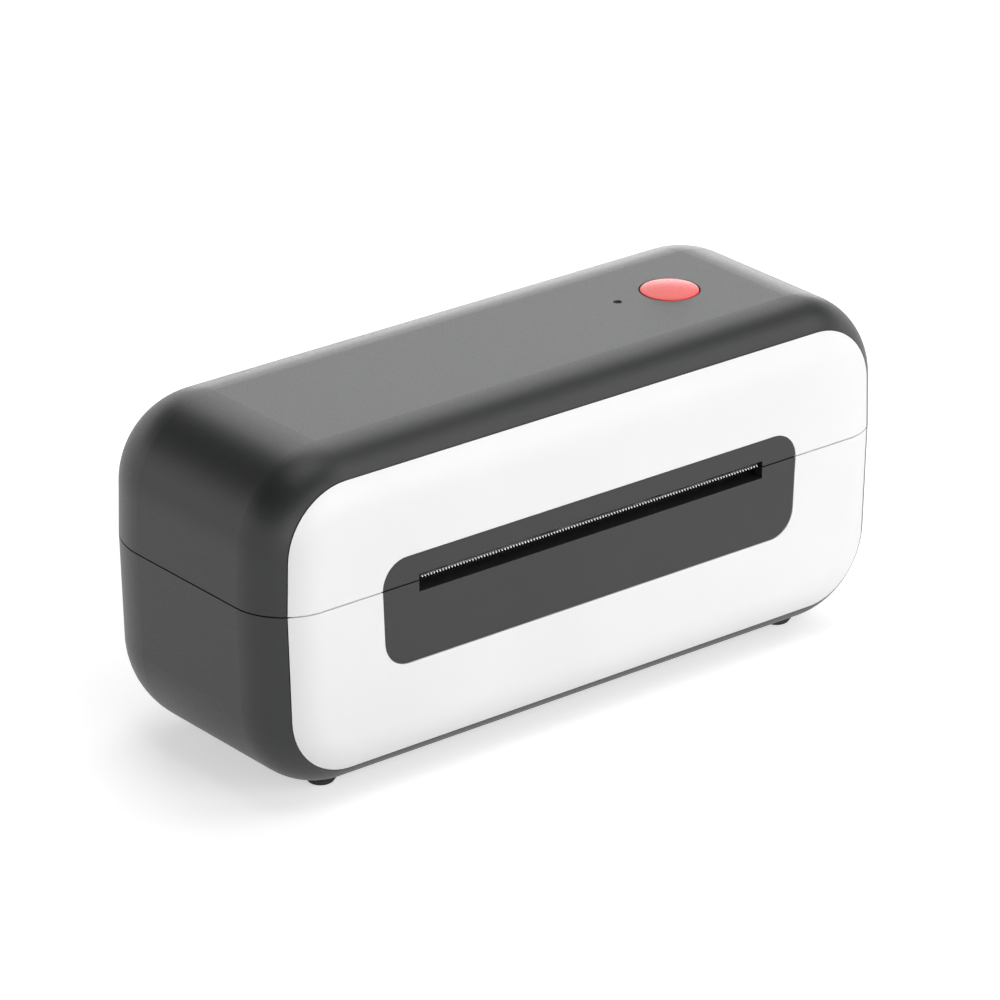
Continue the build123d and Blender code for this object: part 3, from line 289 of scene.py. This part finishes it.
# Boards are glass epoxy under a green mask: glossy, with the copper tracks as paler lines.
def masked_board(name):
    """Green solder mask over tracks about 1 mm wide, drawn as a square maze of short runs."""
    maze_scale = 260.0  # one turn of the maze in about 4 mm
    material = new_material(name)
    place = add(material, "ShaderNodeTexCoord").outputs["Object"]
    cells = add(
        material, "ShaderNodeTexVoronoi", {"distance": "CHEBYCHEV", "feature": "F1"},
        Vector=place, Scale=maze_scale, Randomness=0.75,
    )
    tracks = add(
        material, "ShaderNodeValToRGB", stops=[(0.42, "#0f4529"), (0.50, "#1d6a40")],
        Fac=cells.outputs["Distance"],
    )
    bump = add(
        material, "ShaderNodeBump",
        Strength=0.3, Distance=0.04 * MM, Height=cells.outputs["Distance"],
    )
    shader = add(
        material, "ShaderNodeBsdfPrincipled", Base_Color=tracks.outputs["Color"], Roughness=0.32,
        IOR=1.55, Normal=bump.outputs["Normal"],
    )
    return finish_material(material, shader.outputs["BSDF"])


# The head's strip is alumina under a dark, smooth glaze, with a pale line over the roller.
def glazed_strip(name):
    """Dark glaze with the line of heating dots, drawn 0.5 mm wide so that it shows."""
    low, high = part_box("head_substrate")
    glaze, dots = "#3f2e20", "#c9a25a"
    material = new_material(name)
    place = add(material, "ShaderNodeTexCoord").outputs["Object"]
    parts = add(material, "ShaderNodeSeparateXYZ", Vector=place)
    share = add(
        material, "ShaderNodeMapRange",
        Value=parts.outputs["Y"], _1=low.y, _2=high.y, _3=0.0, _4=1.0,
    )
    shade = add(
        material, "ShaderNodeValToRGB", Fac=share.outputs["Result"],
        stops=[(0.00, "#3a2a1c"), (0.47, glaze), (0.49, dots), (0.51, dots), (0.53, glaze)],
    )
    grain = add(material, "ShaderNodeTexNoise", Vector=place, Scale=1600.0, Detail=2.0)
    bump = add(
        material, "ShaderNodeBump", Strength=0.1, Distance=0.05 * MM, Height=grain.outputs["Fac"]
    )
    shader = add(
        material, "ShaderNodeBsdfPrincipled", Base_Color=shade.outputs["Color"], Roughness=0.16,
        IOR=1.6, Normal=bump.outputs["Normal"],
    )
    return finish_material(material, shader.outputs["BSDF"])


# The motor is two zinc-plated end caps with the punched steel of the stator between them.
def stacked_motor(name):
    """Cloudy zinc on the caps, and bands on the stator between them."""
    cap_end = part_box("stepper_motor")[0].x
    stack_start, stack_end, edge = cap_end + 5.0 * MM, cap_end + 15.8 * MM, 0.2 * MM
    material = new_material(name)
    place = add(material, "ShaderNodeTexCoord").outputs["Object"]
    along = add(material, "ShaderNodeSeparateXYZ", Vector=place).outputs["X"]
    cloud = add(material, "ShaderNodeTexNoise", Vector=place, Scale=220.0, Detail=3.0)
    plate = add(
        material, "ShaderNodeValToRGB", Fac=cloud.outputs["Fac"],
        stops=[(NOISE_LOW, "#8a8c90"), (NOISE_HIGH, "#a2a4a8")],
    )
    # The stator's sheets are 0.5 mm thick, too fine to show, and are drawn as bands 6 mm apart.
    layers = add(
        material, "ShaderNodeTexWave", {"bands_direction": "X", "wave_profile": "SAW"},
        Vector=place, Scale=50.0, Distortion=0.0,
    )
    stack = add(
        material, "ShaderNodeValToRGB", stops=[(0.0, "#4c4d50"), (1.0, "#76777a")],
        Fac=layers.outputs["Fac"],
    )
    past_first_cap = add(
        material, "ShaderNodeMapRange", {"clamp": True}, Value=along,
        _1=stack_start, _2=stack_start + edge, _3=0.0, _4=1.0,
    )
    before_last_cap = add(
        material, "ShaderNodeMapRange", {"clamp": True}, Value=along,
        _1=stack_end, _2=stack_end + edge, _3=1.0, _4=0.0,
    )
    between = add(
        material, "ShaderNodeMath", {"operation": "MULTIPLY"},
        _0=past_first_cap.outputs["Result"], _1=before_last_cap.outputs["Result"],
    )
    shade = add(
        material, "ShaderNodeMix", {"data_type": "RGBA"}, _0=between.outputs[0],
        _6=plate.outputs["Color"], _7=stack.outputs["Color"],
    )
    shader = add(
        material, "ShaderNodeBsdfPrincipled",
        Base_Color=shade.outputs[2], Metallic=1.0, Roughness=0.38,
    )
    return finish_material(material, shader.outputs["BSDF"])


# The light pipe is clear polycarbonate and the lamp clear epoxy: both let light through.
def clear_plastic(name, colour, roughness):
    """A clear plastic, faintly clouded by its moulding."""
    material = new_material(name)
    place = add(material, "ShaderNodeTexCoord").outputs["Object"]
    cloud = add(material, "ShaderNodeTexNoise", Vector=place, Scale=900.0, Detail=2.0)
    gloss = add(
        material, "ShaderNodeMapRange", Value=cloud.outputs["Fac"],
        _1=NOISE_LOW, _2=NOISE_HIGH, _3=roughness - CLOUD_GLOSS, _4=roughness + CLOUD_GLOSS,
    )
    shader = add(
        material, "ShaderNodeBsdfPrincipled", Base_Color=linear(colour),
        Roughness=gloss.outputs["Result"], IOR=1.585, Transmission_Weight=0.85,
    )
    return finish_material(material, shader.outputs["BSDF"])


board_mask = masked_board("solder_masked_glass_epoxy_boards")
strip_glaze = glazed_strip("glazed_alumina_head_strip")
motor_plate = stacked_motor("zinc_plated_motor_cans")
pipe_polycarbonate = clear_plastic("clear_polycarbonate_light_pipe", "#8d9296", 0.18)
lamp_epoxy = clear_plastic("clear_epoxy_lamp", "#d7dcde", 0.12)

# Which nodes each finish goes on
finishes = {
    case_abs: "base_shell lid_shell",
    panel_abs: "base_front_panel lid_front_panel",
    bezel_abs: "base_bezel lid_bezel",
    tear_steel: "tear_bar",
    button_abs: "feed_button",
    pipe_polycarbonate: "light_pipe",
    lamp_epoxy: "status_lamp",
    foot_rubber: "rubber_feet platen_rubber",
    frame_abs: "chassis_frame lid_frame",
    ground_steel: (
        "platen_shaft idler_stud motor_shaft guide_stud catch_pins hinge_pins head_pins latch_rod"
    ),
    gear_acetal: "platen_bushes platen_gear idler_gear motor_pinion guide_pinion",
    sheet_steel: "gear_plate head_bracket latch_hooks",
    motor_plate: "stepper_motor",
    guide_acetal: "left_guide right_guide",
    part_polyester: "gap_sensor power_jack switch_housing board_capacitor button_switch",
    chip_epoxy: "board_chips",
    board_mask: "main_board button_board",
    socket_nylon: "board_connectors head_connector",
    can_steel: "usb_port",
    rocker_nylon: "power_rocker",
    sink_aluminium: "head_heat_sink",
    strip_glaze: "head_substrate",
    spring_wire: "head_springs",
}
for finish, names in finishes.items():
    for name in names.split():
        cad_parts[name].data.materials.clear()
        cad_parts[name].data.materials.append(finish)


# Modelling by hand
TOUCH = 1e-5  # in metres; points closer than this are at the same place


def deselect():
    """Leaves nothing selected, so that an operator acts on the new piece alone."""
    bpy.ops.object.select_all(action="DESELECT")


def select_where(test):
    """In edit mode, selects the faces whose middle and normal pass the test, and nothing else."""
    bpy.ops.mesh.select_mode(type="FACE")
    bpy.ops.mesh.select_all(action="DESELECT")
    shape = bmesh.from_edit_mesh(bpy.context.object.data)
    for face in shape.faces:
        face.select_set(test(face.calc_center_median(), face.normal))
    bmesh.update_edit_mesh(bpy.context.object.data)


def select_edges_at(height):
    """In edit mode, selects the edges that lie level at a height, and nothing else."""
    bpy.ops.mesh.select_mode(type="EDGE")
    bpy.ops.mesh.select_all(action="DESELECT")
    shape = bmesh.from_edit_mesh(bpy.context.object.data)
    for edge in shape.edges:
        edge.select_set(all(abs(end.co.z - height) < TOUCH for end in edge.verts))
    bmesh.update_edit_mesh(bpy.context.object.data)


def start_shaping(name):
    """Names the new piece, sets its place into its mesh, and goes into edit mode."""
    piece = bpy.context.object
    piece.name = name
    bpy.ops.object.transform_apply(location=True, rotation=True, scale=True)
    bpy.ops.object.mode_set(mode="EDIT")
    return piece


def round_bar(name, centre, radius, depth, sides):
    """Starts a piece from an upright round bar, and goes into edit mode."""
    deselect()
    bpy.ops.mesh.primitive_cylinder_add(
        vertices=sides, radius=radius * MM, depth=depth * MM, location=centre, end_fill_type="NGON"
    )
    return start_shaping(name)


def square_block(name, centre, size):
    """Starts a piece from a block, and goes into edit mode."""
    deselect()
    bpy.ops.mesh.primitive_cube_add(size=1.0, location=centre)
    bpy.context.object.scale = Vector(size) * MM
    return start_shaping(name)


def finish_piece(piece, finish, body, angle=35):
    """Leaves edit mode, turns the faces outwards, smooths, and sets the piece's finish and body."""
    bpy.ops.mesh.select_all(action="SELECT")
    bpy.ops.mesh.normals_make_consistent(inside=False)
    bpy.ops.object.mode_set(mode="OBJECT")
    bpy.ops.object.shade_smooth_by_angle(angle=radians(angle))
    piece.data.materials.clear()
    piece.data.materials.append(finish)
    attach(piece, body)


def copy_to(piece, name, step, body, turn=0.0):
    """A copy with its own mesh, moved by a step and turned about its own upright middle line."""
    copy = piece.copy()
    copy.data = piece.data.copy()
    copy.name = name
    copy.data.name = name
    bpy.context.scene.collection.objects.link(copy)
    middle = sum((Vector(corner) for corner in piece.bound_box), Vector()) / 8
    about = Matrix.Rotation(turn, 4, "Z")
    turned = Matrix.Translation(middle) @ about @ Matrix.Translation(-middle)
    copy.data.transform(Matrix.Translation(step) @ turned)
    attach(copy, body)
    return copy


# Feed button
def make_feed_button():
    """A red cap with a low dome, a rounded rim, a stem for the switch and four catches."""
    across, back = 59.8, 39.9
    radius, cap_foot, rim_up, dome = 8.25, 36.4, 40.4, 1.0
    rim_rounding, stem_radius = 0.25, 2.0
    centre = spot(across, back, (cap_foot + rim_up) / 2)
    cap = round_bar("feed_button_cap", centre, radius, rim_up - cap_foot, 96)
    top = spot(across, back, rim_up).z
    select_where(lambda middle, normal: normal.z > 0.9 and middle.z > top - 0.2 * MM)
    rings = (1.0, 0.93, 0.84, 0.72, 0.58, 0.42, 0.25, 0.10)
    for outer, inner in zip(rings, rings[1:]):
        bpy.ops.mesh.inset(thickness=radius * (outer - inner) * MM, depth=0)
        bpy.ops.transform.translate(value=(0, 0, dome * (outer**2 - inner**2) * MM))
    select_edges_at(top)
    bpy.ops.mesh.bevel(offset=rim_rounding * MM, segments=4, affect="EDGES")
    foot = spot(across, back, cap_foot).z
    select_where(lambda middle, normal: normal.z < -0.9 and middle.z < foot + 0.2 * MM)
    bpy.ops.mesh.inset(thickness=(radius - stem_radius) * MM, depth=0)
    stem_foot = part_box("feed_button")[0].z
    bpy.ops.mesh.extrude_region_move(TRANSFORM_OT_translate={"value": (0, 0, stem_foot - foot)})
    finish_piece(cap, button_abs, "button", 50)
    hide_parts("feed_button")

    catch_reach, catch_up, catch_size = 8.9, 37.0, (1.5, 4.0, 1.2)
    first = spot(across + catch_reach, back, catch_up)
    catch = square_block("feed_button_catch_1", first, catch_size)
    bpy.ops.mesh.bevel(offset=0.15 * MM, segments=2, affect="EDGES")
    finish_piece(catch, button_abs, "button")
    for number in (2, 3, 4):
        turn = (number - 1) * pi / 2
        place = spot(across + catch_reach * cos(turn), back + catch_reach * sin(turn), catch_up)
        name = f"feed_button_catch_{number}"
        copy_to(catch, name, place - first, "button", turn)


# Feet
def make_feet():
    """Four tapered rubber feet with a rounded tread and a shallow dimple under each."""
    radius, seat, taper, shoulder = 4.5, 3.6, 1.2, 1.82
    tread_rounding, dimple_margin, dimple_slope, dimple_depth = 0.7, 1.0, 0.3, 0.35
    level = 1e-6  # in metres; the first strip of the rounding is already higher
    spots = [(side * 81.0, back) for side in (-1, 1) for back in (16.5, 58.0)]
    first = spot(*spots[0], seat / 2 - PARTING_HEIGHT)
    foot = round_bar("rubber_foot_1", first, radius, seat, 64)
    select_where(lambda middle, normal: abs(normal.z) < 0.1)
    bpy.ops.mesh.subdivide(number_cuts=1)
    shape = bmesh.from_edit_mesh(foot.data)
    for vertex in shape.verts:
        away = Vector((vertex.co.x - first.x, vertex.co.y - first.y, 0))
        if away.length < radius * 0.9 * MM:
            continue
        if abs(vertex.co.z) < TOUCH:
            vertex.co += away.normalized() * ((radius - taper) * MM - away.length)
        elif abs(vertex.co.z - seat / 2 * MM) < TOUCH:
            vertex.co += away.normalized() * (radius * MM - away.length)
            vertex.co.z = shoulder * MM
    bmesh.update_edit_mesh(foot.data)
    select_edges_at(0)
    bpy.ops.mesh.bevel(offset=tread_rounding * MM, segments=5, affect="EDGES")
    select_where(lambda middle, normal: normal.z < -0.99 and middle.z < level)
    bpy.ops.mesh.inset(thickness=dimple_margin * MM, depth=0)
    bpy.ops.mesh.inset(thickness=dimple_slope * MM, depth=0)
    bpy.ops.transform.translate(value=(0, 0, dimple_depth * MM))
    finish_piece(foot, foot_rubber, "base", 50)
    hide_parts("rubber_feet")
    for number, place in enumerate(spots[1:], start=2):
        step = spot(*place, seat / 2 - PARTING_HEIGHT) - first
        copy_to(foot, f"rubber_foot_{number}", step, "base")


# Head springs
def make_head_springs():
    """Two wire springs with closed end turns, seated between the heat sink and the bracket."""
    radius, wire, low, high = 2.7, 0.7, 4.4, 13.6
    across, back = 35.0, 19.0
    turns, sides, steps, wound_pitch = 5, 12, 36, 2
    closed = wire + 0.05
    open_pitch = (high - low - 2 * closed) / (turns - 2)
    deselect()
    bpy.ops.mesh.primitive_circle_add(
        vertices=sides, radius=wire / 2 * MM, location=(radius * MM, 0, 0), rotation=(pi / 2, 0, 0)
    )
    spring = bpy.context.object
    spring.name = "head_spring_1"
    bpy.ops.object.transform_apply(location=True, rotation=True, scale=True)
    wind = spring.modifiers.new("wind", "SCREW")
    wind.axis = "Z"
    wind.angle = 2 * pi
    wind.screw_offset = wound_pitch * MM
    wind.iterations = turns
    wind.steps = wind.render_steps = steps
    wind.use_merge_vertices = False
    bpy.ops.object.modifier_apply(modifier="wind")
    for vertex in spring.data.vertices:
        turn = vertex.index // sides / steps
        rise = closed * min(turn, 1)
        rise += open_pitch * min(max(turn - 1, 0), turns - 2)
        rise += closed * max(turn - (turns - 1), 0)
        vertex.co.z += (rise - wound_pitch * turn) * MM
    spring.data.transform(Matrix.Translation(spot(-across, back, low)))
    bpy.ops.object.mode_set(mode="EDIT")
    bpy.ops.mesh.select_mode(type="EDGE")
    bpy.ops.mesh.select_all(action="DESELECT")
    bpy.ops.mesh.select_non_manifold()
    bpy.ops.mesh.fill_holes(sides=sides + 1)
    finish_piece(spring, spring_wire, "lid", 60)
    step = Vector((2 * across, 0, 0)) * MM
    second = copy_to(spring, "head_spring_2", step, "lid")
    for piece in (spring, second):
        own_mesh(piece)
    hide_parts("head_springs")


# Case screws
def make_screws():
    """Cross-recess pan-head screws in the wells under the base and under the lid's frame."""
    radius, height, rounding, base_seat, lid_seat = 2.8, 1.8, 0.9, -43.0, 1.4
    recess_width, recess_height, recess_reach, recess_centre = 0.7, 1.6, 1.05, 1.5
    spots = [(side * 88.0, back) for side in (-1, 1) for back in (30.0, 62.0)]
    first = spot(*spots[0], base_seat)
    head = spot(*spots[0], base_seat - height / 2)
    screw = round_bar("base_screw_1", head, radius, height, 48)
    select_edges_at(spot(*spots[0], base_seat - height).z)
    bpy.ops.mesh.bevel(offset=rounding * MM, segments=5, affect="EDGES")
    bpy.ops.object.mode_set(mode="OBJECT")

    core = spot(*spots[0], base_seat - recess_centre)
    cross = square_block("cross", core, (recess_width, recess_width, recess_height))
    for way in (Vector((1, 0, 0)), Vector((-1, 0, 0)), Vector((0, 1, 0)), Vector((0, -1, 0))):
        select_where(
            lambda middle, normal: normal.dot(way) > 0.9 and (middle - core).length < 0.5 * MM
        )
        bpy.ops.mesh.extrude_region_move(
            TRANSFORM_OT_translate={"value": way * recess_reach * MM}
        )
    bpy.ops.mesh.select_all(action="SELECT")
    bpy.ops.mesh.normals_make_consistent(inside=False)
    bpy.ops.object.mode_set(mode="OBJECT")
    cut = screw.modifiers.new("recess", "BOOLEAN")
    cut.operation = "DIFFERENCE"
    cut.solver = "EXACT"
    cut.object = cross
    deselect()
    bpy.context.view_layer.objects.active = screw
    screw.select_set(True)
    bpy.ops.object.modifier_apply(modifier="recess")
    bpy.data.objects.remove(cross)
    bpy.ops.object.mode_set(mode="EDIT")
    finish_piece(screw, sheet_steel, "base")

    for number, place in enumerate(spots[1:], start=2):
        step = spot(*place, base_seat) - first
        copy_to(screw, f"base_screw_{number}", step, "base", 0.4 * number)
    for number, place in enumerate(spots, start=1):
        step = spot(*place, lid_seat) - first
        copy_to(screw, f"lid_frame_screw_{number}", step, "lid", 0.7 * number)


make_feed_button()
make_feet()
make_head_springs()
make_screws()


# Floor and light
def seen(material):
    """One where the camera, a reflection or clear plastic looks, and nought for other light."""
    path = add(material, "ShaderNodeLightPath").outputs
    looked = path["Is Camera Ray"]
    for ray in ("Is Glossy Ray", "Is Transmission Ray"):
        larger = add(
            material, "ShaderNodeMath", {"operation": "MAXIMUM"}, _0=looked, _1=path[ray]
        )
        looked = larger.outputs[0]
    return looked


def lay_floor():
    """A wide pale table top, white where it is seen, that keeps the printer's shadow."""
    deselect()
    bpy.ops.mesh.primitive_plane_add(size=9.0, location=(0, 0, 0))
    floor = bpy.context.object
    floor.name = "table_top"
    material = new_material("white_painted_table_top")
    paint = add(material, "ShaderNodeBsdfDiffuse", Color=linear("#e6e6e6")).outputs[0]
    glow = add(material, "ShaderNodeEmission", Color=linear("#ffffff"), Strength=0.55).outputs[0]
    both = add(material, "ShaderNodeAddShader", _0=paint, _1=glow).outputs[0]
    mix = add(material, "ShaderNodeMixShader", _0=seen(material), _1=paint, _2=both)
    floor.data.materials.append(finish_material(material, mix.outputs[0]))


def hang_backdrop():
    """A low white sweep all round, far off, that rims the case with light."""
    radius, height, middle = 4.2, 1.7, 0.84
    deselect()
    bpy.ops.mesh.primitive_cylinder_add(
        vertices=64, radius=radius, depth=height, location=(0, 0, middle), end_fill_type="NOTHING"
    )
    sweep = start_shaping("white_sweep")
    bpy.ops.mesh.select_all(action="SELECT")
    bpy.ops.mesh.flip_normals()
    bpy.ops.object.mode_set(mode="OBJECT")
    material = new_material("white_paper_sweep")
    paper = add(material, "ShaderNodeBsdfDiffuse", Color=linear("#efefef")).outputs[0]
    glow = add(material, "ShaderNodeEmission", Color=linear("#ffffff"), Strength=1.4).outputs[0]
    mix = add(material, "ShaderNodeMixShader", _0=seen(material), _1=paper, _2=glow)
    sweep.data.materials.append(finish_material(material, mix.outputs[0]))


def light_the_room():
    """A faint, even room light under the softboxes."""
    world = bpy.data.worlds.new("studio_room")
    world.use_nodes = True
    background = world.node_tree.nodes["Background"]
    background.inputs["Color"].default_value = linear("#ffffff")
    background.inputs["Strength"].default_value = 0.05
    bpy.context.scene.world = world


set_up_camera()
lay_floor()
hang_backdrop()
light_the_room()

# Each softbox: its place in metres, its width and height, and its power in watts
softboxes = {
    "rear_softbox": ((0.55, 0.75, 0.95), 1.1, 0.8, 7.5),
    "overhead_softbox": ((0, 0, 1.5), 0.9, 0.9, 5),
    "front_softbox": ((0.15, -1.35, 0.6), 1.2, 1.0, 11.8),
    "camera_softbox": ((-0.9, -1.3, 0.5), 0.8, 0.8, 3),
    "tear_bar_softbox": ((0.62, -0.43, 0.8), 0.55, 0.45, 2.2),
    "right_rim_softbox": ((1.2, 1.35, 0.22), 0.9, 0.35, 4.5),
}
for name, (place, width, height, power) in softboxes.items():
    softbox(name, place, width, height, power)

bpy.context.scene.view_settings.view_transform = "Standard"
